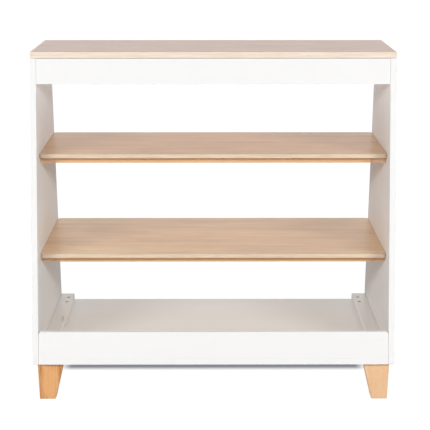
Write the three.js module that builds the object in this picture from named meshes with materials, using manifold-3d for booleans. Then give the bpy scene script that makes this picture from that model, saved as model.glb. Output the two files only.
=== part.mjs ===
// Open changing table. Two side panels, deeper at the foot than at the top, carry a top board with
// an apron under each long edge, two shelves on beech frames, and a bottom tray with a front lip.
// It stands on four short tapered legs. Millimetres, +Z up, -Y is the front, and the origin is on
// the floor under the middle of the table.

import * as THREE from "three";
import { mergeVertices } from "three/addons/utils/BufferGeometryUtils.js";
import Module from "manifold-3d";

const wasm = await Module();
wasm.setup();

// Whole table
const width = 1000;
const height = 960;
const topDepth = 350;
const baseDepth = 610;
const legHeight = 110;

// Boards
const panelThickness = 16;
const topThickness = 17;
const shelfThickness = 12;
const bottomThickness = 16;
const footCorner = 2;
const topCorner = 3;
const shelfCorner = 10;

// Gap between pieces that touch, and the wider seams that show as a shadow line
const gap = 0.3;
const apronReveal = 0.8;
const lipSeam = 0.5;

// Aprons and tray
const apronBottom = 873;
const lipHeight = 74;
const lipCorner = 8;
const trayBackInset = 15;

// Shelves: top surface height, and how far the front edge stands behind the panel's front edge
const upperShelf = { name: "upper", top: 676, frontInset: 52 };
const lowerShelf = { name: "lower", top: 398, frontInset: 64 };

// Battens of the shelf frames and of the tray
const battenWidth = 42;
const battenHeight = 18;
const battenRound = 2.5;
const frameInset = 30;
const cleatInset = 3;

// Legs: top and bottom sections, measured from the table's end and from the base's front or back
const legTopSize = 72;
const legFootSize = 44;
const legInsetX = 11;
const legInsetY = 17;
const legLean = 3.5;
const legRound = 3;
const legBoltDepth = 50;
const glideRadius = 13;
const glideThickness = 2;

// Fasteners
const dowelRadius = 4;
const dowelLength = 30;
const panelHoleDepth = 10;
const screwRadius = 2;
const screwHeadRadius = 4;
const screwHeadDepth = 3;
const boltRadius = 3;
const boltHeadRadius = 5;
const boltHeadHeight = 6;
const boltRecess = 5;
const boltChamfer = 0.5;
const boltX = 457;
const legBoltY = 248;
const barBoltY = 197;
const barBoltDepth = 13;
const socketRadius = 2.5;
const socketDepth = 3;
const roundSegments = 12;
const cornerSegments = 5;

// How far a cutting shape runs past the face it cuts
const overcut = 1;

// Peg that stands on the left base bar
const pegX = -447;
const pegY = 8;
const pegRise = 9;

const underTop = height - topThickness;
const lean = (baseDepth - topDepth) / 2 / (underTop - legHeight);
const insideX = width / 2 - panelThickness;
const boardEndX = insideX - gap;
const trayTop = legHeight + bottomThickness;
const barTop = trayTop + gap + battenHeight;
const battenInnerX = boardEndX - battenWidth;
const legX = width / 2 - legInsetX - legTopSize / 2;
const legY = baseDepth / 2 - legInsetY - legTopSize / 2;

const sides = [
  { name: "left", sign: -1 },
  { name: "right", sign: 1 },
];
const ends = [
  { name: "front", sign: -1 },
  { name: "rear", sign: 1 },
];

// Distance from the middle of the table to the panels' front and back edges at height z
function halfDepth(z) {
  return topDepth / 2 + lean * (underTop - z);
}

// ---- materials ----

function material(color, roughness, metalness) {
  return new THREE.MeshStandardMaterial({ color, roughness, metalness });
}

const whiteLacquer = () => material(0xf4f2ef, 0.4, 0);
const birchPly = () => material(0xdcc0a2, 0.45, 0);
const beech = () => material(0xe2ab72, 0.5, 0);
const zincSteel = () => material(0xa9abad, 0.35, 1);
const greyFelt = () => material(0x77736d, 0.95, 0);

// ---- solids and cuts ----

function solidOf(geometry) {
  const bare = geometry.clone();
  bare.deleteAttribute("normal");
  bare.deleteAttribute("uv");
  const merged = mergeVertices(bare, 1e-3);
  const mesh = new wasm.Mesh({
    numProp: 3,
    vertProperties: merged.getAttribute("position").array,
    triVerts: new Uint32Array(merged.index.array),
  });
  return new wasm.Manifold(mesh);
}

function cut(geometry, holes) {
  let solid = solidOf(geometry);
  for (const hole of holes) solid = solid.subtract(solidOf(hole));
  const mesh = solid.getMesh();
  const result = new THREE.BufferGeometry();
  result.setAttribute("position", new THREE.BufferAttribute(mesh.vertProperties, 3));
  result.setIndex(new THREE.BufferAttribute(mesh.triVerts, 1));
  result.computeVertexNormals();
  return result;
}

const table = new THREE.Group();

function add(name, geometry, itsMaterial) {
  const mesh = new THREE.Mesh(geometry, itsMaterial);
  mesh.name = name;
  table.add(mesh);
  return mesh;
}

// ---- shapes ----

function roundedRectangle(x0, x1, y0, y1, radius) {
  const shape = new THREE.Shape();
  shape.moveTo(x0 + radius, y0);
  shape.lineTo(x1 - radius, y0);
  shape.absarc(x1 - radius, y0 + radius, radius, -Math.PI / 2, 0);
  shape.lineTo(x1, y1 - radius);
  shape.absarc(x1 - radius, y1 - radius, radius, 0, Math.PI / 2);
  shape.lineTo(x0 + radius, y1);
  shape.absarc(x0 + radius, y1 - radius, radius, Math.PI / 2, Math.PI);
  shape.lineTo(x0, y0 + radius);
  shape.absarc(x0 + radius, y0 + radius, radius, Math.PI, 1.5 * Math.PI);
  return shape;
}

// Square at the bottom, rounded at the top
function roundedTop(x0, x1, y0, y1, radius) {
  const shape = new THREE.Shape();
  shape.moveTo(x0, y0);
  shape.lineTo(x1, y0);
  shape.lineTo(x1, y1 - radius);
  shape.absarc(x1 - radius, y1 - radius, radius, 0, Math.PI / 2);
  shape.lineTo(x0 + radius, y1);
  shape.absarc(x0 + radius, y1 - radius, radius, Math.PI / 2, Math.PI);
  shape.closePath();
  return shape;
}

function extrude(shape, depth) {
  const options = { depth, bevelEnabled: false, curveSegments: cornerSegments };
  return new THREE.ExtrudeGeometry(shape, options);
}

// A shape drawn in plan, standing from z0 to z1
function alongZ(shape, z0, z1) {
  return extrude(shape, z1 - z0).translate(0, 0, z0);
}

// A shape drawn in side view, its axes being Y and Z, running from x0 to x1
function alongX(shape, x0, x1) {
  const turn = new THREE.Matrix4().makeBasis(
    new THREE.Vector3(0, 1, 0),
    new THREE.Vector3(0, 0, 1),
    new THREE.Vector3(1, 0, 0),
  );
  return extrude(shape, x1 - x0).applyMatrix4(turn).translate(x0, 0, 0);
}

// A shape drawn in front view, its axes being X and Z, running from y0 to y1
function alongY(shape, y0, y1) {
  return extrude(shape, y1 - y0).rotateX(Math.PI / 2).translate(0, y1, 0);
}

// Shears an upright board, whose outer face is at y = 0, to lie flush with the panels' edges
function leanWithPanels(geometry, end) {
  const offset = end.sign * halfDepth(0);
  const shear = new THREE.Matrix4().set(
    1, 0, 0, 0,
    0, 1, -end.sign * lean, offset,
    0, 0, 1, 0,
    0, 0, 0, 1,
  );
  return geometry.applyMatrix4(shear);
}

// A round bar standing from z0 to z1, and one lying along X
function roundZ(radius, z0, z1, x, y) {
  const bar = new THREE.CylinderGeometry(radius, radius, z1 - z0, roundSegments);
  return bar.rotateX(Math.PI / 2).translate(x, y, (z0 + z1) / 2);
}

function roundX(radius, x0, x1, y, z) {
  const bar = new THREE.CylinderGeometry(radius, radius, Math.abs(x1 - x0), roundSegments);
  return bar.rotateZ(Math.PI / 2).translate((x0 + x1) / 2, y, z);
}

// Wood screw from its tip at the origin to a countersunk head at y = length
function screwAlongY(length, radius, headRadius, headDepth) {
  const tip = 3 * radius;
  const points = [
    [0, 0],
    [radius, tip],
    [radius, length - headDepth],
    [headRadius, length],
    [0, length],
  ];
  const profile = points.map(([r, y]) => new THREE.Vector2(r, y));
  return new THREE.LatheGeometry(profile, roundSegments);
}

// Socket-head bolt from its tip at the origin to its head at y = length
function boltAlongY(length) {
  const underHead = length - boltHeadHeight;
  const points = [
    [0, 0],
    [boltRadius - boltChamfer, 0],
    [boltRadius, boltChamfer],
    [boltRadius, underHead],
    [boltHeadRadius, underHead],
    [boltHeadRadius, length],
    [socketRadius, length],
    [socketRadius, length - socketDepth],
    [0, length - socketDepth],
  ];
  const profile = points.map(([r, y]) => new THREE.Vector2(r, y));
  return new THREE.LatheGeometry(profile, roundSegments);
}

// ---- places of the fasteners ----

// Dowels that tie the top board to the panels
const topDowelX = width / 2 - panelThickness / 2;
const topDowelY = 110;
const topDowelBottom = underTop - dowelLength + panelHoleDepth;

// Dowels in the ends of the aprons, in the middle of the apron's thickness
const apronDowels = [{ name: "upper", z: 924 }, { name: "lower", z: 890 }];

function apronMiddle(end, z) {
  return end.sign * (halfDepth(z) - panelThickness / 2);
}

// Front and back of a shelf and of the cleats under it, and the height of its screws
function shelfFront(shelf) {
  return -halfDepth(shelf.top) + shelf.frontInset;
}

function shelfBack(shelf) {
  return halfDepth(shelf.top);
}

function cleatRange(shelf) {
  const inset = frameInset + cleatInset;
  return [shelfFront(shelf) + inset, shelfBack(shelf) - inset];
}

const cleatScrewInset = 70;
const cleatScrewLength = battenWidth + panelHoleDepth;

function cleatScrewYs(shelf) {
  const [front, back] = cleatRange(shelf);
  return [
    { name: "front", y: front + cleatScrewInset },
    { name: "rear", y: back - cleatScrewInset },
  ];
}

function frameMiddle(shelf) {
  return shelf.top - shelfThickness - gap - battenHeight / 2;
}

// Bolts down through the base bars: one into each leg, and one beside it that stops in the tray
const baseBolts = [
  { name: "leg_bolt", y: legBoltY, tip: legHeight - legBoltDepth },
  { name: "bar_bolt", y: barBoltY, tip: trayTop - barBoltDepth },
];
const headTop = barTop - boltRecess;

// Upright screws into the leaning lip, in the middle of its thickness half way up the screw
const lipScrewXs = [-300, 0, 300];
const lipScrewLength = 50;
const lipScrewY = -halfDepth(legHeight + lipScrewLength / 2 + bottomThickness / 2) + panelThickness / 2;

// ---- carcass ----

function sidePanel(side) {
  const bottom = legHeight;
  const top = underTop - gap;
  const shape = new THREE.Shape();
  shape.moveTo(-halfDepth(top), top);
  shape.lineTo(-halfDepth(bottom + footCorner), bottom + footCorner);
  shape.quadraticCurveTo(-halfDepth(bottom), bottom, footCorner - halfDepth(bottom), bottom);
  shape.lineTo(halfDepth(bottom) - footCorner, bottom);
  shape.quadraticCurveTo(halfDepth(bottom), bottom, halfDepth(bottom + footCorner), bottom + footCorner);
  shape.lineTo(halfDepth(top), top);
  shape.closePath();
  const centre = side.sign * (insideX + panelThickness / 2);
  const panel = alongX(shape, centre - panelThickness / 2, centre + panelThickness / 2);

  const holes = [];
  const holeFrom = side.sign * (insideX - overcut);
  const holeTo = side.sign * (insideX + panelHoleDepth + gap);
  for (const end of ends) {
    const dowelY = end.sign * topDowelY;
    holes.push(roundZ(dowelRadius + gap, topDowelBottom - gap, top + overcut, centre, dowelY));
    for (const { z } of apronDowels) {
      holes.push(roundX(dowelRadius + gap, holeFrom, holeTo, apronMiddle(end, z), z));
    }
  }
  for (const shelf of [upperShelf, lowerShelf]) {
    for (const { y } of cleatScrewYs(shelf)) {
      holes.push(roundX(screwRadius + gap, holeFrom, holeTo, y, frameMiddle(shelf)));
    }
  }
  add(`side_panel_${side.name}`, cut(panel, holes), whiteLacquer());
}

function topBoard() {
  const shape = roundedRectangle(-width / 2, width / 2, -topDepth / 2, topDepth / 2, topCorner);
  const board = alongZ(shape, underTop, height);
  const holes = [];
  for (const side of sides) {
    for (const end of ends) {
      const x = side.sign * topDowelX;
      const dowelTop = topDowelBottom + dowelLength + gap;
      holes.push(roundZ(dowelRadius + gap, underTop - overcut, dowelTop, x, end.sign * topDowelY));
    }
  }
  add("top_board", cut(board, holes), birchPly());
}

function apron(end) {
  const shape = new THREE.Shape();
  const top = underTop - apronReveal;
  shape.moveTo(-boardEndX, apronBottom);
  shape.lineTo(boardEndX, apronBottom);
  shape.lineTo(boardEndX, top);
  shape.lineTo(-boardEndX, top);
  shape.closePath();
  const inner = -end.sign * panelThickness;
  const board = leanWithPanels(alongY(shape, Math.min(0, inner), Math.max(0, inner)), end);
  const holes = [];
  const depth = dowelLength - panelHoleDepth + gap;
  for (const side of sides) {
    for (const { z } of apronDowels) {
      const from = side.sign * (insideX + overcut);
      const to = side.sign * (insideX - depth);
      holes.push(roundX(dowelRadius + gap, from, to, apronMiddle(end, z), z));
    }
  }
  add(`${end.name}_apron`, cut(board, holes), whiteLacquer());
}

function bottomBoard() {
  const back = baseDepth / 2 - trayBackInset;
  const shape = new THREE.Shape();
  shape.moveTo(footCorner - halfDepth(legHeight), legHeight);
  shape.lineTo(back, legHeight);
  shape.lineTo(back, trayTop);
  shape.lineTo(-halfDepth(trayTop), trayTop);
  shape.lineTo(-halfDepth(legHeight + footCorner), legHeight + footCorner);
  shape.quadraticCurveTo(-halfDepth(legHeight), legHeight, footCorner - halfDepth(legHeight), legHeight);
  const board = alongX(shape, -boardEndX, boardEndX);
  const holes = [];
  for (const side of sides) {
    for (const end of ends) {
      for (const { y, tip } of baseBolts) {
        const from = Math.max(tip - gap, legHeight - overcut);
        holes.push(roundZ(boltRadius + gap, from, trayTop + overcut, side.sign * boltX, end.sign * y));
      }
    }
  }
  const below = legHeight - overcut;
  const headSeat = legHeight + screwHeadDepth + gap;
  for (const x of lipScrewXs) {
    holes.push(roundZ(screwRadius + gap, below, trayTop + overcut, x, lipScrewY));
    holes.push(roundZ(screwHeadRadius + gap, below, headSeat, x, lipScrewY));
  }
  add("bottom_board", cut(board, holes), whiteLacquer());
}

function trayLip() {
  const endX = insideX - lipSeam;
  const shape = roundedTop(-endX, endX, trayTop + gap, trayTop + lipHeight, lipCorner);
  const front = ends[0];
  const board = leanWithPanels(alongY(shape, 0, panelThickness), front);
  const tipZ = legHeight + lipScrewLength + gap;
  const holes = lipScrewXs.map((x) => roundZ(screwRadius + gap, trayTop - overcut, tipZ, x, lipScrewY));
  add("tray_lip", cut(board, holes), whiteLacquer());
}

// ---- shelves and their frames ----

function shelfBoard(shelf) {
  const shape = roundedRectangle(-boardEndX, boardEndX, shelfFront(shelf), shelfBack(shelf), shelfCorner);
  add(`${shelf.name}_shelf`, alongZ(shape, shelf.top - shelfThickness, shelf.top), birchPly());
}

function cleat(shelf, side) {
  const [front, back] = cleatRange(shelf);
  const middle = frameMiddle(shelf);
  const xs = [side.sign * battenInnerX, side.sign * boardEndX];
  const shape = roundedRectangle(
    Math.min(...xs),
    Math.max(...xs),
    middle - battenHeight / 2,
    middle + battenHeight / 2,
    battenRound,
  );
  const holes = [];
  for (const { y } of cleatScrewYs(shelf)) {
    const through = side.sign * (boardEndX + overcut);
    const mouth = side.sign * (battenInnerX - overcut);
    const seat = side.sign * (battenInnerX + screwHeadDepth + gap);
    holes.push(roundX(screwRadius + gap, mouth, through, y, middle));
    holes.push(roundX(screwHeadRadius + gap, mouth, seat, y, middle));
  }
  add(`${shelf.name}_cleat_${side.name}`, cut(alongY(shape, front, back), holes), beech());
}

function shelfRail(shelf, end) {
  const outer = end.sign < 0 ? shelfFront(shelf) + frameInset : shelfBack(shelf) - frameInset;
  const ys = [outer, outer - end.sign * battenWidth];
  const middle = frameMiddle(shelf);
  const shape = roundedRectangle(
    Math.min(...ys),
    Math.max(...ys),
    middle - battenHeight / 2,
    middle + battenHeight / 2,
    battenRound,
  );
  const endX = battenInnerX - gap;
  add(`${shelf.name}_${end.name}_rail`, alongX(shape, -endX, endX), beech());
}

function cleatScrews(shelf, side) {
  for (const { name, y } of cleatScrewYs(shelf)) {
    const screw = screwAlongY(cleatScrewLength, screwRadius, screwHeadRadius, screwHeadDepth);
    const mesh = add(`${shelf.name}_cleat_screw_${name}_${side.name}`, screw, zincSteel());
    mesh.rotation.z = side.sign * Math.PI / 2;
    mesh.position.set(side.sign * (battenInnerX + cleatScrewLength), y, frameMiddle(shelf));
  }
}

// ---- base ----

function baseBar(side) {
  const xs = [side.sign * battenInnerX, side.sign * boardEndX];
  const shape = roundedTop(Math.min(...xs), Math.max(...xs), trayTop + gap, barTop, battenRound);
  const front = -halfDepth(barTop) + panelThickness + lipSeam;
  const back = baseDepth / 2 - trayBackInset;
  const holes = [];
  const seat = headTop - boltHeadHeight - gap;
  const above = barTop + overcut;
  for (const end of ends) {
    for (const { y } of baseBolts) {
      const x = side.sign * boltX;
      holes.push(roundZ(boltRadius + gap, trayTop - overcut, above, x, end.sign * y));
      holes.push(roundZ(boltHeadRadius + gap, seat, above, x, end.sign * y));
    }
  }
  if (side.sign * pegX > 0) {
    holes.push(roundZ(dowelRadius + gap, barTop - panelHoleDepth - gap, above, pegX, pegY));
  }
  add(`base_bar_${side.name}`, cut(alongY(shape, front, back), holes), whiteLacquer());
}

// A tapered block: the outer faces lean in a little and the inner faces a lot
function leg(side, end) {
  const half = legTopSize / 2;
  const bottom = glideThickness + gap;
  const top = legHeight - gap;
  const block = alongZ(roundedRectangle(-half, half, -half, half, legRound), 0, 1);
  const position = block.getAttribute("position");
  const shrink = legFootSize / legTopSize;
  const footShift = half - legLean - legFootSize / 2;
  for (let i = 0; i < position.count; i += 1) {
    const down = 1 - position.getZ(i);
    const scale = 1 - down * (1 - shrink);
    position.setX(i, position.getX(i) * scale + side.sign * footShift * down);
    position.setY(i, position.getY(i) * scale + end.sign * footShift * down);
    position.setZ(i, bottom + (top - bottom) * position.getZ(i));
  }
  block.translate(side.sign * legX, end.sign * legY, 0);
  const bolt = baseBolts[0];
  const x = side.sign * boltX;
  const hole = roundZ(boltRadius + gap, bolt.tip - gap, legHeight + overcut, x, end.sign * bolt.y);
  add(`leg_${end.name}_${side.name}`, cut(block, [hole]), beech());
}

function glide(side, end) {
  const footShift = legTopSize / 2 - legLean - legFootSize / 2;
  const footMiddleX = legX + footShift;
  const footMiddleY = legY + footShift;
  const disc = roundZ(glideRadius, 0, glideThickness, 0, 0);
  const mesh = add(`glide_${end.name}_${side.name}`, disc, greyFelt());
  mesh.position.set(side.sign * footMiddleX, end.sign * footMiddleY, 0);
}

function baseFasteners(side, end) {
  for (const { name, y, tip } of baseBolts) {
    const mesh = add(`${name}_${end.name}_${side.name}`, boltAlongY(headTop - tip), zincSteel());
    mesh.rotation.x = Math.PI / 2;
    mesh.position.set(side.sign * boltX, end.sign * y, tip);
  }
}

// ---- dowels, lip screws and peg ----

function topDowel(side, end) {
  const dowel = roundZ(dowelRadius, 0, dowelLength, 0, 0);
  const mesh = add(`top_dowel_${end.name}_${side.name}`, dowel, beech());
  mesh.position.set(side.sign * topDowelX, end.sign * topDowelY, topDowelBottom);
}

function apronDowelPair(side, end) {
  for (const { name, z } of apronDowels) {
    const dowel = roundX(dowelRadius, 0, dowelLength, 0, 0);
    const mesh = add(`${end.name}_apron_dowel_${name}_${side.name}`, dowel, beech());
    const inner = insideX - dowelLength + panelHoleDepth;
    const x = side.sign > 0 ? inner : -inner - dowelLength;
    mesh.position.set(x, apronMiddle(end, z), z);
  }
}

function lipScrews() {
  lipScrewXs.forEach((x, index) => {
    const screw = screwAlongY(lipScrewLength, screwRadius, screwHeadRadius, screwHeadDepth);
    const mesh = add(`lip_screw_${index + 1}`, screw, zincSteel());
    mesh.rotation.x = -Math.PI / 2;
    mesh.position.set(x, lipScrewY, legHeight + lipScrewLength);
  });
}

function barPeg() {
  const peg = roundZ(dowelRadius, barTop - panelHoleDepth, barTop + pegRise, 0, 0);
  const mesh = add("bar_peg", peg, beech());
  mesh.position.set(pegX, pegY, 0);
}

// ---- assembly ----

topBoard();
bottomBoard();
trayLip();
lipScrews();
barPeg();
ends.forEach(apron);
for (const side of sides) {
  sidePanel(side);
  baseBar(side);
  for (const end of ends) {
    leg(side, end);
    glide(side, end);
    baseFasteners(side, end);
    topDowel(side, end);
    apronDowelPair(side, end);
  }
}
for (const shelf of [upperShelf, lowerShelf]) {
  shelfBoard(shelf);
  for (const end of ends) shelfRail(shelf, end);
  for (const side of sides) {
    cleat(shelf, side);
    cleatScrews(shelf, side);
  }
}

export default table;
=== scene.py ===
"""The changing table's finished pieces, with its floor, lights and camera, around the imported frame."""

import math

import bmesh
import bpy
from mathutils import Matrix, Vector


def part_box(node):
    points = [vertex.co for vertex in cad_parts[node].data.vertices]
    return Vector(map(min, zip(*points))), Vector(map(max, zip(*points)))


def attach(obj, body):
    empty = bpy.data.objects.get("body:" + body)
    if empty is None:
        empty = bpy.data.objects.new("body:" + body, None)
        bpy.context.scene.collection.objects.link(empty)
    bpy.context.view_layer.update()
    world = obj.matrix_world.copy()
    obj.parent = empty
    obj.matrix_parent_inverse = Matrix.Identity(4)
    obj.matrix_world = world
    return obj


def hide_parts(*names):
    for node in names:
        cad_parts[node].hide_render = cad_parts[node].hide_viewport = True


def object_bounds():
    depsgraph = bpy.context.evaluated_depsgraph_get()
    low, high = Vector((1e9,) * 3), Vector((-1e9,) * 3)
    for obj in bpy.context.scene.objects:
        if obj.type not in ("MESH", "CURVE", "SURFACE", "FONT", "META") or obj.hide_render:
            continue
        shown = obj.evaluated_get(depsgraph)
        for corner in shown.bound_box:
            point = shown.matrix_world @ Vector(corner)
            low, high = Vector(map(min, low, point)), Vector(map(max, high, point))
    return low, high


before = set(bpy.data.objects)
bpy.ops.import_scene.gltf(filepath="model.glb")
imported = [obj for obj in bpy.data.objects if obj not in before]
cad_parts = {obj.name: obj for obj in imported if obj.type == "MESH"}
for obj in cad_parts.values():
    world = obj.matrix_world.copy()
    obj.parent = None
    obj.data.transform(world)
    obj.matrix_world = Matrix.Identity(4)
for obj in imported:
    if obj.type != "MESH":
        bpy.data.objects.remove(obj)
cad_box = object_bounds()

# ---- what the table has ----

BODY = "root"
SIDES = ("left", "right")
ENDS = ("front", "rear")
LEVELS = ("upper", "lower")
LIP_SCREWS = (1, 2, 3)
TOP_PLIES = 13
SHELF_PLIES = 9

# ---- edges and corners, in metres ----

MM = 0.001
LACQUER_ARRIS = 1.0 * MM
TRAY_ARRIS = 0.35 * MM
PLY_ARRIS = 1.1 * MM
BATTEN_ROUND = 2.5 * MM
BATTEN_END_ARRIS = 0.5 * MM
BAR_FOOT_ARRIS = 0.1 * MM
BAR_OUTER_ROUND = 1.0 * MM
TOP_CORNER = 3 * MM
SHELF_CORNER = 10 * MM
LIP_CORNER = 8 * MM
LIP_TOP_ROUND = 2.5 * MM
PANEL_FOOT_CORNER = 2 * MM
LEG_CORNER = 3 * MM
LEG_ARRIS = 1.5 * MM

# The lip and the base bars reach down through most of the gap that the CAD leaves under them.
SETTLE = 0.25 * MM

# ---- how finely shapes are rounded, and which faces count as creased, flat or square ----

ARC_STEPS = 10
ROUND_STEPS = 3
TURNED_STEPS = 24
PEG_STEPS = 32
GLIDE_STEPS = 40
DOME_STEPS = 4
LEG_ARRIS_STEPS = 3
EASED_ABOVE = math.radians(35)
CREASED_ABOVE = math.radians(40)
FLAT_ENOUGH = 0.999
SQUARE_ENOUGH = 0.9
OBLIQUE = Vector((1.0, math.sqrt(2), math.pi))

# ---- fasteners and their holes, in metres ----

CLEARANCE = 0.3 * MM
OVERCUT = 1.0 * MM
HOLE_CHAMFER = 0.5 * MM
DOWEL_RADIUS = 4 * MM
DOWEL_CHAMFER = 1.0 * MM
FLUTES = 12
FLUTE_STEPS = 4
FLUTE_DEPTH = 0.25 * MM
PEG_DOME = 1.5 * MM
SCREW_RADIUS = 2 * MM
SCREW_CORE = 1.3 * MM
SCREW_SHANK = 1.8 * MM
SCREW_PITCH = 2.0 * MM
SCREW_POINT = 6 * MM
SCREW_THREADED = 0.65
SCREW_RUNOUT = 1.0 * MM
SCREW_HEAD_RADIUS = 4 * MM
SCREW_HEAD_DEPTH = 3 * MM
SCREW_HEAD_RIM = 0.3 * MM
RECESS_ARM = 2.2 * MM
RECESS_WEB = 0.5 * MM
RECESS_DEPTH = 2.0 * MM
RECESS_FLOOR_SCALE = 0.45
RECESS_MOUTH_SCALE = 1.15
BOLT_RADIUS = 3 * MM
BOLT_CORE = 2.55 * MM
BOLT_NECK_RADIUS = 2.91 * MM
BOLT_PITCH = 1.0 * MM
BOLT_CHAMFER = 0.6 * MM
BOLT_LEAD = 1.0 * MM
BOLT_RUNOUT = 0.5 * MM
BOLT_NECK = 10 * MM
BOLT_LEAST_THREAD = 12 * MM
BOLT_HEAD_RADIUS = 5 * MM
BOLT_HEAD_HEIGHT = 6 * MM
SOCKET_RADIUS = 2.5 * MM
SOCKET_DEPTH = 3 * MM
SOCKET_SIDES = 6
STEPS_PER_PITCH = 4

# ---- wood grain, as noise per metre along and across the grain ----

GRAIN_BANDS = (1.6, 26)
GRAIN_STREAKS = (4, 120)
GRAIN_FIBRES = (14, 620)
GRAIN_CLOUDS = (7, 16)
GRAIN_RAYS = (160, 900)
TOP_ROUGHNESS = 0.38
SHELF_ROUGHNESS = 0.4
BEECH_ROUGHNESS = 0.42
BEECH_FLECK = 0.3
WEATHERING = (0.84, 0.79, 0.76)

# ---- floor, lights and camera, in metres, watts and degrees ----

FLOOR_RADIUS = 3.0
FLOOR_STEPS = 96
FLOOR_GAP = 0.5 * MM
# A painted shade on the floor that the camera sees, under the table: its half width, front and back edges and
# softness in metres, and its colour.
SHADE_HALF_WIDTH = 0.422
SHADE_FRONT = 0.003
SHADE_BACK = 0.3
SHADE_SOFT = 0.044
SHADE_COLOR = (0.235, 0.235, 0.265)
WHITE_LIGHT = (1.0, 1.0, 1.0)
ROOM_LIGHT = 0.344
ROOM_SEEN = 1.05
ROOM_COLOR = (1.03, 1.0, 0.975)
KEY_COLOR = (0.985, 1.0, 1.01)
KEY_AZIMUTH = 38
KEY_ELEVATION = 18
KEY_DISTANCE = 3.6
KEY_SIZE = (1.2, 0.36)
KEY_POWER = 50.4
BACK_AZIMUTH = 180
BACK_ELEVATION = 12
BACK_DISTANCE = 3.2
BACK_SIZE = (4.0, 1.6)
BACK_POWER = 24.2
CAMERA_SENSOR = 36
CAMERA_LENS = 113.4
CAMERA_PLACE = (-0.0069, -3.8707, 1.3356)
CAMERA_PITCH = 0.2211
CAMERA_YAW = 0.0031


# ---- what the frame says ----

def middle(node):
    low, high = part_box(node)
    return (low + high) / 2


top_low, top_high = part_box("top_board")
panel_low, panel_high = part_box("side_panel_right")
TOP_HALF_DEPTH = top_high.y
LEAN = (panel_high.y - top_high.y) / (top_low.z - panel_low.z)


def half_depth(z):
    """How far the side panels' front and back edges stand from the middle of the table at height z."""
    return TOP_HALF_DEPTH + LEAN * (top_low.z - z)


def sign_of(word):
    return -1 if word in ("left", "front") else 1


# ---- outlines and solids ----

def along_x(u, v, w):
    return (w, u, v)


def along_y(u, v, w):
    return (u, w, v)


def along_z(u, v, w):
    return (u, v, w)


ALONG = {"X": along_x, "Y": along_y, "Z": along_z}


def leaning(end):
    """Sweeps a front-view outline along Y, with the outer face flush with the side panels' edges."""
    toward = sign_of(end)
    return lambda u, v, w: (u, toward * (half_depth(v) - w), v)


def arc(u, v, radius, start, stop):
    """Points on a circle round (u, v) from start to stop, in quarter turns."""
    turns = [(start + (stop - start) * i / ARC_STEPS) * math.pi / 2 for i in range(ARC_STEPS + 1)]
    return [(u + radius * math.cos(turn), v + radius * math.sin(turn)) for turn in turns]


def rounded_rectangle(u0, u1, v0, v1, radius):
    points = arc(u1 - radius, v0 + radius, radius, -1, 0)
    points += arc(u1 - radius, v1 - radius, radius, 0, 1)
    points += arc(u0 + radius, v1 - radius, radius, 1, 2)
    points += arc(u0 + radius, v0 + radius, radius, 2, 3)
    return points


def loft(rings):
    """A closed solid through rings that have the same number of points."""
    solid = bmesh.new()
    rows = [[solid.verts.new(point) for point in ring] for ring in rings]
    for below, above in zip(rows, rows[1:]):
        for i in range(len(below)):
            solid.faces.new((below[i - 1], below[i], above[i], above[i - 1]))
    solid.faces.new(rows[0])
    solid.faces.new(rows[-1])
    bmesh.ops.recalc_face_normals(solid, faces=solid.faces)
    return solid


def prism(outline, low, high, place):
    """An outline in (u, v), swept in w from low to high."""
    return loft([[place(u, v, w) for u, v in outline] for w in (low, high)])


def is_sharp(edge):
    return edge.is_manifold and edge.calc_face_angle() > EASED_ABOVE


def round_edges(solid, edges, width):
    bmesh.ops.bevel(
        solid, geom=edges, offset=width, segments=ROUND_STEPS, profile=0.5, affect="EDGES", clamp_overlap=True
    )
    return solid


def ease(solid, width):
    """Rounds every sharp edge."""
    return round_edges(solid, [edge for edge in solid.edges if is_sharp(edge)], width)


def in_order(solid):
    """Sorts the faces by their place along an oblique line, because bevels leave the faces of some
    solids in an order that varies from run to run."""
    solid.faces.sort(key=lambda face: face.calc_center_median().dot(OBLIQUE))
    return solid


def turned(profile, place, segments=TURNED_STEPS, radius_at=None):
    """A solid of revolution. The profile holds (radius, along) and starts and ends on the axis. Its
    rings are shaped by radius_at(radius, along, angle) where that is given."""
    solid = bmesh.new()
    rows = []
    for radius, along in profile:
        if radius == 0:
            rows.append([solid.verts.new(place(0, 0, along))])
            continue
        row = []
        for i in range(segments):
            angle = 2 * math.pi * i / segments
            r = radius_at(radius, along, angle) if radius_at else radius
            row.append(solid.verts.new(place(r * math.cos(angle), r * math.sin(angle), along)))
        rows.append(row)
    for below, above in zip(rows, rows[1:]):
        for i in range(segments):
            if len(below) == 1:
                corners = (below[0], above[i], above[i - 1])
            elif len(above) == 1:
                corners = (below[i - 1], below[i], above[0])
            else:
                corners = (below[i - 1], below[i], above[i], above[i - 1])
            solid.faces.new(corners)
    bmesh.ops.recalc_face_normals(solid, faces=solid.faces)
    return solid


def through(node, axis):
    """The sweep along an axis through the middle of a node."""
    centre = middle(node)
    centre["XYZ".index(axis)] = 0
    return lambda u, v, w: Vector(ALONG[axis](u, v, w)) + centre


# ---- finished pieces ----

def mesh_object(name, solid):
    mesh = bpy.data.meshes.new(name)
    solid.to_mesh(mesh)
    solid.free()
    piece = bpy.data.objects.new(name, mesh)
    bpy.context.scene.collection.objects.link(piece)
    return piece


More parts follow.
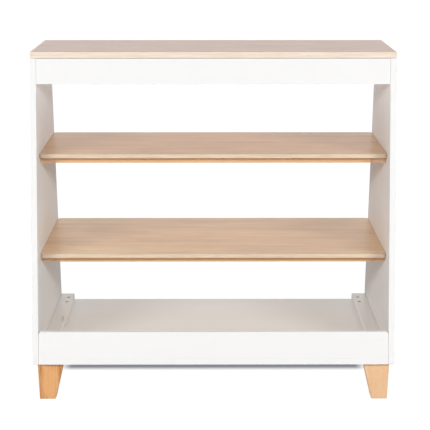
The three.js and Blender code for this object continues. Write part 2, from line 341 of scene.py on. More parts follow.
def carve(piece, cutters):
    """Cuts closed shapes out of a piece."""
    merged = bpy.data.meshes.new("cutter")
    joined = bmesh.new()
    for cutter in cutters:
        cutter.to_mesh(merged)
        cutter.free()
        joined.from_mesh(merged)
    joined.to_mesh(merged)
    joined.free()
    tool = bpy.data.objects.new("cutter", merged)
    bpy.context.scene.collection.objects.link(tool)
    cut = piece.modifiers.new("cut", "BOOLEAN")
    cut.operation = "DIFFERENCE"
    cut.solver = "EXACT"
    cut.object = tool
    bpy.context.view_layer.update()
    evaluated = piece.evaluated_get(bpy.context.evaluated_depsgraph_get())
    result = bpy.data.meshes.new_from_object(evaluated)
    piece.modifiers.clear()
    old = piece.data
    piece.data = result
    bpy.data.meshes.remove(old)
    bpy.data.objects.remove(tool)
    bpy.data.meshes.remove(merged)
    result.name = piece.name


def finished(node, solid, materials, cutters=(), index_of=None):
    """The finished piece that stands for a CAD node. Where a piece has two materials, index_of picks
    the one for a face from the face's centre and normal."""
    piece = mesh_object(f"{node}_finished", solid)
    if cutters:
        carve(piece, cutters)
    piece.data.materials.clear()
    for material in materials:
        piece.data.materials.append(material)
    for face in piece.data.polygons:
        face.use_smooth = True
        face.material_index = index_of(face.center, face.normal) if index_of else 0
    piece.data.set_sharp_from_angle(angle=CREASED_ABOVE)
    normals = piece.modifiers.new("even_normals", "WEIGHTED_NORMAL")
    normals.keep_sharp = True
    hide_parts(node)
    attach(piece, BODY)
    return piece


def board_edge(centre, normal):
    """Picks the second material for every face of a flat board but its top and bottom."""
    return int(abs(normal.z) < FLAT_ENOUGH)


def end_of(axis):
    """Picks the second material for the faces that look along the axis."""
    i = "XYZ".index(axis)
    return lambda centre, normal: int(abs(normal[i]) > SQUARE_ENOUGH)


# ---- material nodes ----

class Graph:
    """A material's nodes, around one Principled surface, in the table's own coordinates."""

    def __init__(self, name):
        self.material = bpy.data.materials.new(name)
        self.material.use_nodes = True
        self.tree = self.material.node_tree
        self.tree.nodes.clear()
        self.surface = self.tree.nodes.new("ShaderNodeBsdfPrincipled")
        output = self.tree.nodes.new("ShaderNodeOutputMaterial")
        self.tree.links.new(self.surface.outputs["BSDF"], output.inputs["Surface"])
        self.position = self.tree.nodes.new("ShaderNodeTexCoord").outputs["Object"]

    def add(self, kind, inputs, **settings):
        """A node, with its inputs linked or set and its settings made."""
        node = self.tree.nodes.new(kind)
        for name, value in settings.items():
            setattr(node, name, value)
        for key, value in inputs.items():
            if isinstance(value, bpy.types.NodeSocket):
                self.tree.links.new(value, node.inputs[key])
            else:
                node.inputs[key].default_value = value
        return node

    def set(self, **values):
        for name, value in values.items():
            self.surface.inputs[name.replace("_", " ")].default_value = value

    def link(self, value, name):
        self.tree.links.new(value, self.surface.inputs[name])

    def scaled(self, scale):
        return self.add("ShaderNodeMapping", {"Vector": self.position, "Scale": scale}).outputs["Vector"]

    def noise(self, scale, detail=3.0, roughness=0.5, distortion=0.0):
        """Noise from 0 to 1, with its own scale along each axis, per metre."""
        inputs = {
            "Vector": self.scaled(scale),
            "Scale": 1.0,
            "Detail": detail,
            "Roughness": roughness,
            "Distortion": distortion,
        }
        return self.add("ShaderNodeTexNoise", inputs).outputs["Fac"]

    def maths(self, operation, a, b=0.0, clamp=False):
        return self.add("ShaderNodeMath", {0: a, 1: b}, operation=operation, use_clamp=clamp).outputs[0]

    def ranged(self, value, low, high, to_low, to_high, shape="LINEAR"):
        inputs = {"Value": value, "From Min": low, "From Max": high, "To Min": to_low, "To Max": to_high}
        return self.add("ShaderNodeMapRange", inputs, interpolation_type=shape).outputs["Result"]

    def mix(self, factor, a, b):
        node = self.add("ShaderNodeMix", {}, data_type="RGBA")
        for key, value in (("Factor_Float", factor), ("A_Color", a), ("B_Color", b)):
            socket = next(s for s in node.inputs if s.identifier == key)
            if isinstance(value, bpy.types.NodeSocket):
                self.tree.links.new(value, socket)
            else:
                socket.default_value = value
        return next(s for s in node.outputs if s.identifier == "Result_Color")

    def bump(self, height, strength, distance):
        node = self.add("ShaderNodeBump", {"Height": height, "Strength": strength, "Distance": distance})
        self.link(node.outputs["Normal"], "Normal")


def opaque(color):
    return (*color, 1.0)


def darker(color, share):
    return tuple(c * share for c in color)


def scale_along(axis, along, across):
    """A noise scale with one value along the grain's axis and another across it."""
    return tuple(along if i == "XYZ".index(axis) else across for i in range(3))


def white_lacquer():
    graph = Graph("white_lacquer")
    cloud = graph.noise((5, 5, 5), detail=2)
    peel = graph.noise((900, 900, 900), detail=2)
    color = graph.mix(cloud, opaque((0.863, 0.858, 0.85)), opaque((0.885, 0.882, 0.876)))
    graph.link(color, "Base Color")
    graph.link(graph.ranged(peel, 0.3, 0.7, 0.36, 0.44), "Roughness")
    graph.bump(peel, 0.05, 0.2 * MM)
    return graph.material


def wood_face(name, axis, light, dark, contrast, roughness, fleck=0.0):
    """Lacquered long grain. The tone goes from light to dark in broad bands, narrower streaks, fine
    fibres and soft clouds, all drawn out along the axis, and fleck is how strongly rays show."""
    graph = Graph(name)
    bands = graph.noise(scale_along(axis, *GRAIN_BANDS), detail=4, roughness=0.55, distortion=0.6)
    streaks = graph.noise(scale_along(axis, *GRAIN_STREAKS), detail=3, roughness=0.6)
    fibres = graph.noise(scale_along(axis, *GRAIN_FIBRES), detail=3, roughness=0.6)
    clouds = graph.noise(scale_along(axis, *GRAIN_CLOUDS), detail=3)
    tone = 0.5
    for layer, share in ((bands, 0.9), (streaks, 0.7), (fibres, 0.5), (clouds, 0.9)):
        swing = graph.ranged(layer, 0.25, 0.75, -share * contrast, share * contrast)
        tone = graph.maths("ADD", tone, swing)
    color = graph.mix(graph.maths("ADD", tone, 0.0, clamp=True), opaque(light), opaque(dark))
    if fleck:
        rays = graph.noise(scale_along(axis, *GRAIN_RAYS), detail=1)
        spots = graph.ranged(rays, 0.62, 0.7, 0, fleck)
        color = graph.mix(spots, color, opaque(darker(dark, 0.62)))
    graph.link(color, "Base Color")
    graph.link(graph.ranged(fibres, 0.3, 0.7, roughness - 0.04, roughness + 0.06), "Roughness")
    graph.bump(fibres, 0.12, 0.15 * MM)
    return graph.material


def ply_edge(name, node, plies, light, dark):
    """The edge of a plywood board: plies stacked between the board's two faces, every other one cut
    across its grain, with thin glue lines between them, darker streaks and stains, and a few small
    voids, painted as dark patches that stand for the shade inside them."""
    low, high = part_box(node)
    graph = Graph(name)
    height = graph.add("ShaderNodeSeparateXYZ", {"Vector": graph.position}).outputs["Z"]
    wander = graph.noise((9, 9, 3), detail=1)
    layer = graph.ranged(height, low.z, high.z, 0, plies)
    layer = graph.maths("ADD", layer, graph.ranged(wander, 0.3, 0.7, -0.12, 0.12))
    wave = graph.maths("SINE", graph.maths("MULTIPLY", layer, math.pi))
    across = graph.ranged(wave, -0.25, 0.25, 0, 1)
    pores = graph.noise((240, 240, 1400), detail=2, roughness=0.6)
    streaks = graph.noise((26, 26, 700), detail=3, roughness=0.6)
    stains = graph.noise((7, 7, 200), detail=3, roughness=0.6)
    color = graph.mix(across, opaque(light), opaque(dark))
    weathered = opaque(c * share for c, share in zip(dark, WEATHERING))
    color = graph.mix(graph.ranged(streaks, 0.4, 0.68, 0, 0.5), color, weathered)
    color = graph.mix(graph.ranged(stains, 0.4, 0.66, 0, 0.5), color, weathered)
    glue = graph.maths("ABSOLUTE", wave)
    color = graph.mix(graph.ranged(glue, 0.0, 0.2, 0.3, 0), color, opaque(darker(dark, 0.55)))
    # Small voids: painted shade, dark patches on the flat edge where a hollow would be.
    patch = graph.noise((16, 16, 500), detail=1)
    void_shade = graph.ranged(graph.maths("MULTIPLY", patch, across), 0.74, 0.77, 0, 0.8)
    color = graph.mix(void_shade, color, opaque((0.2, 0.13, 0.08)))
    graph.link(color, "Base Color")
    graph.link(graph.ranged(pores, 0.3, 0.7, 0.42, 0.55), "Roughness")
    graph.bump(pores, 0.2, 0.15 * MM)
    return graph.material


def end_grain(name, light, dark):
    graph = Graph(name)
    pores = graph.noise((1500, 1500, 1500), detail=2, roughness=0.6)
    rings = graph.noise((60, 60, 160), detail=3, distortion=0.8)
    color = graph.mix(graph.ranged(rings, 0.35, 0.65, 0, 1), opaque(light), opaque(dark))
    color = graph.mix(graph.ranged(pores, 0.5, 0.75, 0, 0.4), color, opaque(darker(dark, 0.6)))
    graph.link(color, "Base Color")
    graph.link(graph.ranged(pores, 0.3, 0.7, 0.55, 0.7), "Roughness")
    graph.bump(pores, 0.25, 0.2 * MM)
    return graph.material


def zinc():
    graph = Graph("zinc_plate")
    spangle = graph.noise((700, 700, 700), detail=3)
    color = graph.mix(spangle, opaque((0.52, 0.53, 0.54)), opaque((0.7, 0.71, 0.72)))
    graph.link(color, "Base Color")
    graph.set(Metallic=1.0)
    graph.link(graph.ranged(spangle, 0.3, 0.7, 0.28, 0.42), "Roughness")
    graph.bump(spangle, 0.08, 0.1 * MM)
    return graph.material


def felt():
    graph = Graph("grey_felt")
    fibres = graph.noise((1800, 1800, 1800), detail=4, roughness=0.7)
    color = graph.mix(fibres, opaque((0.12, 0.115, 0.11)), opaque((0.3, 0.29, 0.275)))
    graph.link(color, "Base Color")
    graph.set(Roughness=0.95, Sheen_Weight=0.3)
    graph.bump(fibres, 0.6, 0.4 * MM)
    return graph.material


WHITE = white_lacquer()
TOP_FACE = wood_face(
    "birch_top_face", "X", light=(0.98, 0.705, 0.57), dark=(0.8, 0.56, 0.46), contrast=0.35,
    roughness=TOP_ROUGHNESS,
)
SHELF_FACE = {
    "upper": wood_face(
        "birch_upper_face", "X", light=(0.868, 0.574, 0.334), dark=(0.696, 0.43, 0.232), contrast=0.39,
        roughness=SHELF_ROUGHNESS,
    ),
    "lower": wood_face(
        "birch_lower_face", "X", light=(0.892, 0.635, 0.363), dark=(0.695, 0.457, 0.255), contrast=0.42,
        roughness=SHELF_ROUGHNESS,
    ),
}
TOP_EDGE_TONES = {"light": (0.955, 0.84, 0.72), "dark": (0.845, 0.715, 0.57)}
SHELF_EDGE_TONES = {"light": (0.875, 0.735, 0.575), "dark": (0.73, 0.575, 0.42)}


def beech(name, axis, light, dark, contrast):
    return wood_face(f"beech_{name}", axis, light, dark, contrast, BEECH_ROUGHNESS, BEECH_FLECK)


RAIL_BEECH = beech("rail", "X", light=(0.84, 0.535, 0.29), dark=(0.73, 0.43, 0.21), contrast=0.25)
CLEAT_BEECH = beech("cleat", "Y", light=(0.92, 0.61, 0.34), dark=(0.74, 0.43, 0.2), contrast=0.5)
PEG_BEECH = beech("peg", "Z", light=(0.95, 0.76, 0.58), dark=(0.82, 0.6, 0.42), contrast=0.5)
LEG_BEECH = {
    "left": beech("leg_left", "Z", light=(0.78, 0.412, 0.173), dark=(0.44, 0.158, 0.028), contrast=0.85),
    "right": beech("leg_right", "Z", light=(0.888, 0.6, 0.364), dark=(0.757, 0.443, 0.23), contrast=0.32),
}
BEECH_END = end_grain("beech_end", light=(0.88, 0.6, 0.4), dark=(0.7, 0.43, 0.25))
PEG_END = end_grain("peg_end", light=(0.5, 0.36, 0.26), dark=(0.36, 0.24, 0.16))
BARE_EDGE = end_grain("bare_board", light=(0.5, 0.36, 0.27), dark=(0.38, 0.26, 0.19))
ZINC = zinc()
FELT = felt()


# ---- holes, where the frame's fasteners stand ----

def step_hole(place, steps):
    """A stepped hole. steps holds (radius, along), and its ends close on the axis."""
    return turned([(0, steps[0][1]), *steps, (0, steps[-1][1])], place)


def dowel_hole(node, axis):
    """Room for a dowel, past both of its ends by the clearance."""
    low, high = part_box(node)
    i = "XYZ".index(axis)
    radius = DOWEL_RADIUS + CLEARANCE
    steps = [(radius, low[i] - CLEARANCE), (radius, high[i] + CLEARANCE)]
    return step_hole(through(node, axis), steps)


def bolt_hole(node, surface):
    """Room for a bolt that stands in Z, with a wider seat for its head and a chamfer at the surface."""
    low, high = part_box(node)
    shaft = BOLT_RADIUS + CLEARANCE
    head = BOLT_HEAD_RADIUS + CLEARANCE
    seat = high.z - BOLT_HEAD_HEIGHT - CLEARANCE
    steps = [
        (shaft, low.z - CLEARANCE),
        (shaft, seat),
        (head, seat),
        (head, surface - HOLE_CHAMFER),
        (head + HOLE_CHAMFER + OVERCUT, surface + OVERCUT),
    ]
    return step_hole(through(node, "Z"), steps)


def screw_hole(node, axis, toward):
    """Room for a screw whose head faces toward -1 or +1 on the axis."""
    low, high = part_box(node)
    i = "XYZ".index(axis)
    tip, head = (high[i], low[i]) if toward < 0 else (low[i], high[i])
    shaft = SCREW_RADIUS + CLEARANCE
    wide = SCREW_HEAD_RADIUS + CLEARANCE
    steps = [
        (shaft, tip - toward * CLEARANCE),
        (shaft, head - toward * (SCREW_HEAD_DEPTH + CLEARANCE)),
        (wide, head - toward * CLEARANCE),
        (wide, head + toward * OVERCUT),
    ]
    return step_hole(through(node, axis), steps)


def apron_dowels(end, side):
    return [f"{end}_apron_dowel_{place}_{side}" for place in LEVELS]


# ---- carcass ----

def side_panel(side):
    node = f"side_panel_{side}"
    low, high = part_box(node)
    head = half_depth(high.z)
    foot = half_depth(low.z) - PANEL_FOOT_CORNER
    above = low.z + PANEL_FOOT_CORNER
    flank = half_depth(above)
    outline = [(-head, high.z), (-flank, above), (-foot, low.z)]
    outline += [(foot, low.z), (flank, above), (head, high.z)]
    solid = ease(prism(outline, low.x, high.x, along_x), LACQUER_ARRIS)
    cutters = [dowel_hole(f"top_dowel_{end}_{side}", "Z") for end in ENDS]
    cutters += [dowel_hole(name, "X") for end in ENDS for name in apron_dowels(end, side)]
    for level in LEVELS:
        for end in ENDS:
            cutters.append(screw_hole(f"{level}_cleat_screw_{end}_{side}", "X", -sign_of(side)))
    finished(node, solid, [WHITE], cutters)


def top_board():
    low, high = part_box("top_board")
    outline = rounded_rectangle(low.x, high.x, low.y, high.y, TOP_CORNER)
    solid = ease(prism(outline, low.z, high.z, along_z), PLY_ARRIS)
    cutters = [dowel_hole(f"top_dowel_{end}_{side}", "Z") for end in ENDS for side in SIDES]
    edge = ply_edge("top_ply_edge", "top_board", TOP_PLIES, **TOP_EDGE_TONES)
    finished("top_board", solid, [TOP_FACE, edge], cutters, board_edge)


def apron(end):
    node = f"{end}_apron"
    low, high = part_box(node)
    thickness = high.y - low.y - LEAN * (high.z - low.z)
    outline = [(low.x, low.z), (high.x, low.z), (high.x, high.z), (low.x, high.z)]
    solid = ease(prism(outline, 0, thickness, leaning(end)), LACQUER_ARRIS)
    cutters = [dowel_hole(f"{end}_apron_dowel_{place}_{side}", "X") for place in LEVELS for side in SIDES]
    finished(node, solid, [WHITE], cutters)


def bottom_board():
    low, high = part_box("bottom_board")
    outline = [(high.y, low.z), (high.y, high.z)]
    outline += [(-half_depth(high.z), high.z), (-half_depth(low.z), low.z)]
    solid = ease(prism(outline, low.x, high.x, along_x), TRAY_ARRIS)
    cutters = []
    for side in SIDES:
        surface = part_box(f"base_bar_{side}")[1].z
        for end in ENDS:
            cutters.append(bolt_hole(f"leg_bolt_{end}_{side}", surface))
            cutters.append(bolt_hole(f"bar_bolt_{end}_{side}", surface))
    cutters += [screw_hole(f"lip_screw_{number}", "Z", -1) for number in LIP_SCREWS]
    finished("bottom_board", solid, [WHITE], cutters)


def tray_lip():
    low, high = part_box("tray_lip")
    thickness = high.y - low.y - LEAN * (high.z - low.z)
    outline = [(low.x, low.z - SETTLE), (high.x, low.z - SETTLE)]
    outline += arc(high.x - LIP_CORNER, high.z - LIP_CORNER, LIP_CORNER, 0, 1)
    outline += arc(low.x + LIP_CORNER, high.z - LIP_CORNER, LIP_CORNER, 1, 2)
    solid = prism(outline, 0, thickness, leaning("front"))
    shoulder = high.z - LIP_CORNER - CLEARANCE
    upper = [edge for edge in solid.edges if is_sharp(edge) and min(v.co.z for v in edge.verts) > shoulder]
    solid = in_order(ease(round_edges(solid, upper, LIP_TOP_ROUND), TRAY_ARRIS))
    cutters = [screw_hole(f"lip_screw_{number}", "Z", -1) for number in LIP_SCREWS]
    finished("tray_lip", solid, [WHITE], cutters)


def base_bar(side):
    """A bar with rounded upper edges. Its holes show the bare board inside."""
    node = f"base_bar_{side}"
    low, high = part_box(node)
    left, right = (BAR_OUTER_ROUND, BATTEN_ROUND) if side == "left" else (BATTEN_ROUND, BAR_OUTER_ROUND)
    foot = low.z - SETTLE
    outline = [(low.x, foot), (high.x, foot)]
    outline += arc(high.x - right, high.z - right, right, 0, 1)
    outline += arc(low.x + left, high.z - left, left, 1, 2)
    solid = ease(prism(outline, low.y, high.y, along_y), BAR_FOOT_ARRIS)
    holes = []
    for end in ENDS:
        for kind in ("leg_bolt", "bar_bolt"):
            holes.append((middle(f"{kind}_{end}_{side}"), bolt_hole(f"{kind}_{end}_{side}", high.z)))
    peg = middle("bar_peg")
    if low.x < peg.x < high.x:
        radius = DOWEL_RADIUS + CLEARANCE
        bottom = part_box("bar_peg")[0].z - CLEARANCE
        hole = step_hole(through("bar_peg", "Z"), [(radius, bottom), (radius, high.z + OVERCUT)])
        holes.append((peg, hole))

    def inside_a_hole(centre, normal):
        near = any((centre - hole).xy.length < BOLT_HEAD_RADIUS + 2 * CLEARANCE for hole, _ in holes)
        return int(near and abs(normal.z) < 0.5 and low.z < centre.z < high.z)

    cutters = [cutter for _, cutter in holes]
    finished(node, solid, [WHITE, BARE_EDGE], cutters, inside_a_hole)


# ---- shelves and their frames ----

def shelf(level):
    node = f"{level}_shelf"
    low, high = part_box(node)
    outline = rounded_rectangle(low.x, high.x, low.y, high.y, SHELF_CORNER)
    solid = ease(prism(outline, low.z, high.z, along_z), PLY_ARRIS)
    edge = ply_edge(f"{level}_ply_edge", node, SHELF_PLIES, **SHELF_EDGE_TONES)
    finished(node, solid, [SHELF_FACE[level], edge], index_of=board_edge)


def rail(level, end):
    node = f"{level}_{end}_rail"
    low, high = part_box(node)
    outline = rounded_rectangle(low.y, high.y, low.z, high.z, BATTEN_ROUND)
    solid = ease(prism(outline, low.x, high.x, along_x), BATTEN_END_ARRIS)
    finished(node, solid, [RAIL_BEECH, BEECH_END], index_of=end_of("X"))


def cleat(level, side):
    node = f"{level}_cleat_{side}"
    low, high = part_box(node)
    outline = rounded_rectangle(low.x, high.x, low.z, high.z, BATTEN_ROUND)
    solid = ease(prism(outline, low.y, high.y, along_y), BATTEN_END_ARRIS)
    cutters = [screw_hole(f"{level}_cleat_screw_{end}_{side}", "X", -sign_of(side)) for end in ENDS]
    finished(node, solid, [CLEAT_BEECH, BEECH_END], cutters, end_of("Y"))


# ---- base ----

def foot_of(node):
    """The lowest face of a CAD node, as a box."""
    points = [v.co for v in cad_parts[node].data.vertices]
    bottom = min(p.z for p in points)
    face = [p for p in points if p.z < bottom + MM]
    return Vector(map(min, zip(*face))), Vector(map(max, zip(*face)))


def leg(end, side):
    """A tapered block whose four long edges are rounded, less so towards the foot."""
    node = f"leg_{end}_{side}"
    low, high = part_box(node)
    foot_low, foot_high = foot_of(node)
    head_width, foot_width = high.x - low.x, foot_high.x - foot_low.x
    head = rounded_rectangle(low.x, high.x, low.y, high.y, LEG_CORNER)
    foot_corner = LEG_CORNER * foot_width / head_width
    foot = rounded_rectangle(foot_low.x, foot_high.x, foot_low.y, foot_high.y, foot_corner)
    head_middle = (low.xy + high.xy) / 2
    foot_middle = (foot_low.xy + foot_high.xy) / 2

    def ring(z, inset):
        """The leg's section at height z, drawn in by an inset all round."""
        share = (z - low.z) / (high.z - low.z)
        centre = foot_middle.lerp(head_middle, share)
        kept = 1 - 2 * inset / (head_width * share + foot_width * (1 - share))
        points = [Vector(below).lerp(Vector(above), share) for below, above in zip(foot, head)]
        return [(*(centre + (point - centre) * kept), z) for point in points]

    rings = [ring(high.z, LEG_ARRIS / 3), ring(high.z - LEG_ARRIS / 3, 0)]
    for i in range(LEG_ARRIS_STEPS + 1):
        turn = i / LEG_ARRIS_STEPS * math.pi / 2
        rings.append(ring(low.z + LEG_ARRIS * (1 - math.sin(turn)), LEG_ARRIS * (1 - math.cos(turn))))
    bolt_node = f"leg_bolt_{end}_{side}"
    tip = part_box(bolt_node)[0].z
    radius = BOLT_RADIUS + CLEARANCE
    hole = step_hole(through(bolt_node, "Z"), [(radius, tip - CLEARANCE), (radius, high.z + OVERCUT)])
    finished(node, loft(rings), [LEG_BEECH[side], BEECH_END], [hole], end_of("Z"))


def glide(end, side):
    """A felt disc with a soft edge."""
    node = f"glide_{end}_{side}"
    low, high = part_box(node)
    radius = (high.x - low.x) / 2
    soft = (high.z - low.z) / 3
    profile = [(0, 0), (radius - soft, 0), (radius - soft / 3, soft / 3), (radius, soft)]
    profile += [(radius, high.z - soft), (radius - soft / 3, high.z - soft / 3), (radius - soft, high.z)]
    profile.append((0, high.z))
    solid = turned(profile, through(node, "Z"), GLIDE_STEPS)
    finished(node, solid, [FELT])


# ---- fasteners ----

def axis_of(node):
    """The axis a fastener lies along, its ends on that axis, and the sweep along it."""
    low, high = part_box(node)
    size = high - low
    i = max(range(3), key=lambda k: size[k])
    axis = "XYZ"[i]
    return axis, low[i], high[i], through(node, axis)


def dowel(node):
    """A fluted dowel with chamfered ends."""
    axis, start, stop, place = axis_of(node)
    core = DOWEL_RADIUS - DOWEL_CHAMFER
    profile = [(0, start), (core, start), (DOWEL_RADIUS, start + DOWEL_CHAMFER)]
    profile += [(DOWEL_RADIUS, stop - DOWEL_CHAMFER), (core, stop), (0, stop)]

    def fluted(radius, along, angle):
        groove = max(0.0, math.cos(FLUTES * angle)) if radius == DOWEL_RADIUS else 0
        return radius - FLUTE_DEPTH * groove

    solid = turned(profile, place, FLUTES * FLUTE_STEPS, fluted)
    grain = RAIL_BEECH if axis == "X" else PEG_BEECH
    finished(node, solid, [grain, BEECH_END], index_of=end_of(axis))


def threaded(crest, core, pitch, start, stop):
    """Rings of a thread from start to stop, and the radius at each angle that winds it round."""
    count = max(1, round(abs(stop - start) / (pitch / STEPS_PER_PITCH)))
    rows = [(crest, start + (stop - start) * i / count) for i in range(count + 1)]

    def radius_at(radius, along, angle):
        inside = min(start, stop) <= along <= max(start, stop)
        if radius != crest or not inside:
            return radius
        turn = (along / pitch - angle / (2 * math.pi)) % 1
        return core + (crest - core) * abs(2 * turn - 1)

    return rows, radius_at


def bolt(node):
    """A socket-head bolt: chamfered tip, thread, plain neck and a head with a six-sided socket."""
    low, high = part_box(node)
    place = through(node, "Z")
    under = high.z - BOLT_HEAD_HEIGHT
    thread_end = max(under - BOLT_NECK, low.z + BOLT_LEAST_THREAD)
    rows, radius_at = threaded(BOLT_RADIUS, BOLT_CORE, BOLT_PITCH, low.z + BOLT_LEAD, thread_end)
    profile = [(0, low.z), (BOLT_CORE - BOLT_CHAMFER, low.z), (BOLT_CORE, low.z + BOLT_CHAMFER), *rows]
    profile += [(BOLT_NECK_RADIUS, thread_end + BOLT_RUNOUT), (BOLT_NECK_RADIUS, under)]
    profile += [(BOLT_HEAD_RADIUS - BOLT_CHAMFER / 2, under), (BOLT_HEAD_RADIUS, under + BOLT_CHAMFER / 2)]
    profile += [(BOLT_HEAD_RADIUS, high.z - BOLT_CHAMFER), (BOLT_HEAD_RADIUS - BOLT_CHAMFER, high.z)]
    profile.append((0, high.z))
    solid = turned(profile, place, radius_at=radius_at)
    floor, mouth = high.z - SOCKET_DEPTH, high.z + OVERCUT
    six_sided = [(0, floor), (SOCKET_RADIUS, floor), (SOCKET_RADIUS, mouth), (0, mouth)]
    socket = turned(six_sided, place, SOCKET_SIDES)
    finished(node, solid, [ZINC], [socket])


def wood_screw(node, toward):
    """A countersunk wood screw: pointed tip, thread, plain shank and a head with a crossed recess.
    Its head faces toward -1 or +1 on its axis."""
    _, low, high, place = axis_of(node)
    tip, head = (high, low) if toward < 0 else (low, high)
    thread_start = tip + toward * SCREW_POINT
    thread_end = tip + toward * abs(head - tip) * SCREW_THREADED
    rows, radius_at = threaded(SCREW_RADIUS, SCREW_CORE, SCREW_PITCH, thread_start, thread_end)
    profile = [(0, tip), *rows, (SCREW_SHANK, thread_end + toward * SCREW_RUNOUT)]
    profile.append((SCREW_SHANK, head - toward * SCREW_HEAD_DEPTH))
    profile += [(SCREW_HEAD_RADIUS, head - toward * SCREW_HEAD_RIM), (SCREW_HEAD_RADIUS, head), (0, head)]
    solid = turned(profile, place, radius_at=radius_at)
    arm, web = RECESS_ARM, RECESS_WEB
    cross = [(arm, -web), (arm, web), (web, web), (web, arm), (-web, arm), (-web, web)]
    cross += [(-arm, web), (-arm, -web), (-web, -web), (-web, -arm), (web, -arm), (web, -web)]
    floor = (head - toward * RECESS_DEPTH, RECESS_FLOOR_SCALE)
    mouth = (head + toward * OVERCUT, RECESS_MOUTH_SCALE)
    recess = loft([[place(u * scale, v * scale, w) for u, v in cross] for w, scale in (floor, mouth)])
    finished(node, solid, [ZINC], [recess])


def bar_peg():
    """A short peg with a domed top."""
    low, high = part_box("bar_peg")
    profile = [(0, low.z), (DOWEL_RADIUS - PEG_DOME / 2, low.z), (DOWEL_RADIUS, low.z + PEG_DOME / 2)]
    for i in range(DOME_STEPS + 1):
        turn = i / DOME_STEPS * math.pi / 2
        radius = DOWEL_RADIUS - PEG_DOME * (1 - math.cos(turn))
        profile.append((radius, high.z - PEG_DOME * (1 - math.sin(turn))))
    profile.append((0, high.z))
    solid = turned(profile, through("bar_peg", "Z"), PEG_STEPS)
    finished("bar_peg", solid, [PEG_BEECH, PEG_END], index_of=end_of("Z"))


# ---- the table ----

top_board()
bottom_board()
tray_lip()
bar_peg()
for end in ENDS:
    apron(end)
for side in SIDES:
    side_panel(side)
    base_bar(side)
    for end in ENDS:
        leg(end, side)
        glide(end, side)
        dowel(f"top_dowel_{end}_{side}")
        for node in apron_dowels(end, side):
            dowel(node)
        for kind in ("leg_bolt", "bar_bolt"):
            bolt(f"{kind}_{end}_{side}")
for level in LEVELS:
    shelf(level)
    for end in ENDS:
        rail(level, end)
    for side in SIDES:
        cleat(level, side)
        for end in ENDS:
            wood_screw(f"{level}_cleat_screw_{end}_{side}", -sign_of(side))
for number in LIP_SCREWS:
    wood_screw(f"lip_screw_{number}", -1)


# ---- floor, light and camera ----

def disc(name, material):
    """A round patch of floor around the table."""
    solid = bmesh.new()
    bmesh.ops.create_circle(solid, cap_ends=True, segments=FLOOR_STEPS, radius=FLOOR_RADIUS)
    piece = mesh_object(name, solid)
    piece.data.materials.append(material)
    piece.visible_shadow = False
    return piece


def fade(graph):
    """Thins the floor out to the room's white towards its rim."""
    distance = graph.add("ShaderNodeVectorMath", {0: graph.position}, operation="LENGTH").outputs["Value"]
    graph.link(graph.ranged(distance, FLOOR_RADIUS / 2, FLOOR_RADIUS, 1, 0, "SMOOTHSTEP"), "Alpha")


def bounce_floor():
    """The pale floor that throws light back up at the table."""
    graph = Graph("bounce_floor")
    grain = graph.noise((40, 40, 40), detail=2)
    graph.link(graph.mix(grain, opaque((0.9, 0.9, 0.9)), opaque((0.92, 0.92, 0.92))), "Base Color")
    graph.set(Roughness=0.9)
    fade(graph)
    disc("bounce_floor", graph.material).visible_camera = False


def pale_floor():
    """The same floor as the camera sees it: burnt out to white, with a painted shade under the table, at a
    fixed place and not cast by the lights.
    """
    graph = Graph("pale_floor")
    place = graph.add("ShaderNodeSeparateXYZ", {"Vector": graph.position}).outputs
    across = graph.maths("ABSOLUTE", place["X"])
    sides = graph.ranged(across, SHADE_HALF_WIDTH + SHADE_SOFT, SHADE_HALF_WIDTH, 0, 1, "SMOOTHSTEP")
    near = graph.ranged(place["Y"], SHADE_FRONT - SHADE_SOFT, SHADE_FRONT, 0, 1, "SMOOTHSTEP")
    far = graph.ranged(place["Y"], SHADE_BACK, SHADE_FRONT, 0, 1, "SMOOTHSTEP")
    shade = graph.maths("MULTIPLY", sides, graph.maths("MULTIPLY", near, far))
    grain = graph.noise((40, 40, 40), detail=2)
    # The painted shade darkens the floor's glow towards SHADE_COLOR under the table.
    color = graph.mix(shade, opaque((1.0, 1.0, 1.0)), opaque(SHADE_COLOR))
    graph.link(color, "Emission Color")
    graph.link(graph.ranged(grain, 0.3, 0.7, 1.0, 1.04), "Emission Strength")
    graph.set(Base_Color=(0.0, 0.0, 0.0, 1.0), Roughness=1.0, Specular_IOR_Level=0.0)
    fade(graph)
    floor = disc("floor", graph.material)
    floor.location.z = -FLOOR_GAP
    floor.visible_diffuse = False
    floor.visible_glossy = False


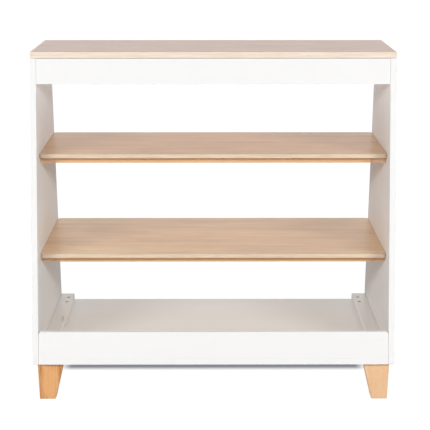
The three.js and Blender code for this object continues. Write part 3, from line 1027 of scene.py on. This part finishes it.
def softbox(name, azimuth, elevation, distance, size, power, color, glossy=True):
    """An area light that faces the middle of the table. Azimuth 0 is in front of it."""
    data = bpy.data.lights.new(name, "AREA")
    data.shape = "RECTANGLE"
    data.size, data.size_y = size
    data.energy = power
    data.color = color
    light = bpy.data.objects.new(name, data)
    bpy.context.scene.collection.objects.link(light)
    turn, rise = math.radians(azimuth), math.radians(elevation)
    direction = Vector((math.sin(turn) * math.cos(rise), -math.cos(turn) * math.cos(rise), math.sin(rise)))
    target = Vector((0, 0, (cad_box[0][2] + cad_box[1][2]) / 2))
    light.location = target + direction * distance
    light.rotation_euler = direction.to_track_quat("Z", "Y").to_euler()
    light.visible_camera = False
    light.visible_glossy = glossy


def surroundings():
    """A white room, dimmer as a light than it looks."""
    world = bpy.data.worlds.new("room")
    bpy.context.scene.world = world
    world.use_nodes = True
    nodes, links = world.node_tree.nodes, world.node_tree.links
    nodes.clear()
    ray = nodes.new("ShaderNodeLightPath")
    either = nodes.new("ShaderNodeMixShader")
    output = nodes.new("ShaderNodeOutputWorld")
    links.new(ray.outputs["Is Camera Ray"], either.inputs["Fac"])
    for socket, color, strength in ((1, ROOM_COLOR, ROOM_LIGHT), (2, WHITE_LIGHT, ROOM_SEEN)):
        background = nodes.new("ShaderNodeBackground")
        background.inputs["Color"].default_value = opaque(color)
        background.inputs["Strength"].default_value = strength
        links.new(background.outputs["Background"], either.inputs[socket])
    links.new(either.outputs["Shader"], output.inputs["Surface"])


def camera():
    data = bpy.data.cameras.new("camera")
    data.sensor_width = CAMERA_SENSOR
    data.lens = CAMERA_LENS
    view = bpy.data.objects.new("camera", data)
    bpy.context.scene.collection.objects.link(view)
    view.location = CAMERA_PLACE
    view.rotation_euler = (math.pi / 2 - CAMERA_PITCH, 0, -CAMERA_YAW)
    bpy.context.scene.camera = view


bounce_floor()
pale_floor()
surroundings()
for side in SIDES:
    key_place = (sign_of(side) * KEY_AZIMUTH, KEY_ELEVATION, KEY_DISTANCE)
    softbox(f"key_{side}", *key_place, KEY_SIZE, KEY_POWER, KEY_COLOR, glossy=False)
softbox("back", BACK_AZIMUTH, BACK_ELEVATION, BACK_DISTANCE, BACK_SIZE, BACK_POWER, WHITE_LIGHT)
camera()
bpy.context.scene.view_settings.view_transform = "Standard"
